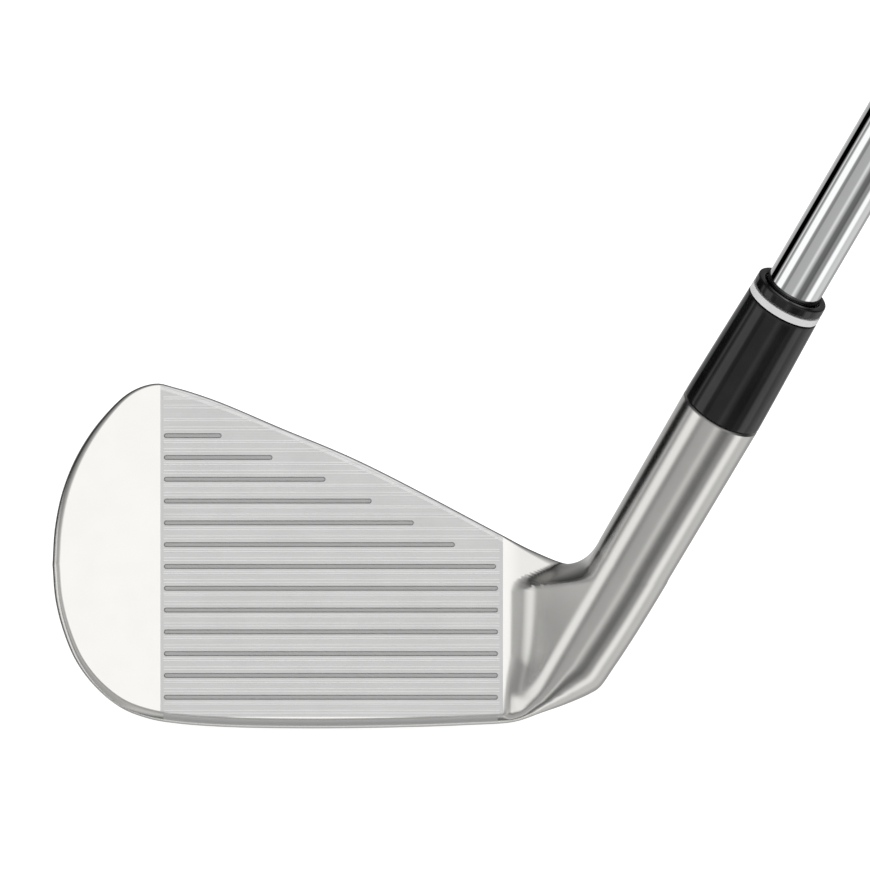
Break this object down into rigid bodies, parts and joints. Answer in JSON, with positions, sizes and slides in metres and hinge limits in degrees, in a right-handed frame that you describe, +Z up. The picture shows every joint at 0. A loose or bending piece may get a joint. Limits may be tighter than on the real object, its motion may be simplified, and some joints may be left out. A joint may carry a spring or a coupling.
{
  "type": "iron golf club",
  "caption": "Right-handed iron golf club with a grooved lofted blade, hosel, black ferrule with a pale ring, stepped steel shaft and rubber grip.",
  "frame": {"origin": "on the shaft line at the middle of the hands' hold on the grip, 110 mm from the end of the grip", "axes": "the club at address: +Z up, +X from the toe towards the heel, the hitting face towards -Y and leaned back by the loft; the shaft line lies in the plane Y = 0 and rises towards +X at the lie angle"},
  "size_m": [0.5429, 0.0384, 0.8587],
  "materials": {
    "head_steel": "satin plated steel, micro-milled hitting zone",
    "weight_metal": "ground tungsten alloy",
    "adhesive_tape": "double-sided tape",
    "badge_metal": "dark satin lacquer",
    "epoxy": "cured epoxy",
    "plug_brass": "turned brass",
    "ferrule_black": "polished black",
    "ferrule_white": "polished white",
    "shaft_chrome": "bright chrome plate",
    "shaft_label": "plain printed film",
    "grip_rubber": "matt, moulded pattern",
    "cap_rubber": "matt"
  },
  "bodies": {
    "root": {"head": "head_steel", "toe_weight": "weight_metal", "badge_tape": "adhesive_tape", "cavity_badge": "badge_metal", "hosel_bond": "epoxy", "tip_weight": "plug_brass", "ferrule_body": "ferrule_black", "ferrule_ring": "ferrule_white", "ferrule_collar": "ferrule_black", "shaft": "shaft_chrome", "shaft_band": "shaft_label", "grip_tape": "adhesive_tape", "grip_sleeve": "grip_rubber", "grip_cap": "cap_rubber"}
  },
  "joints": []
}
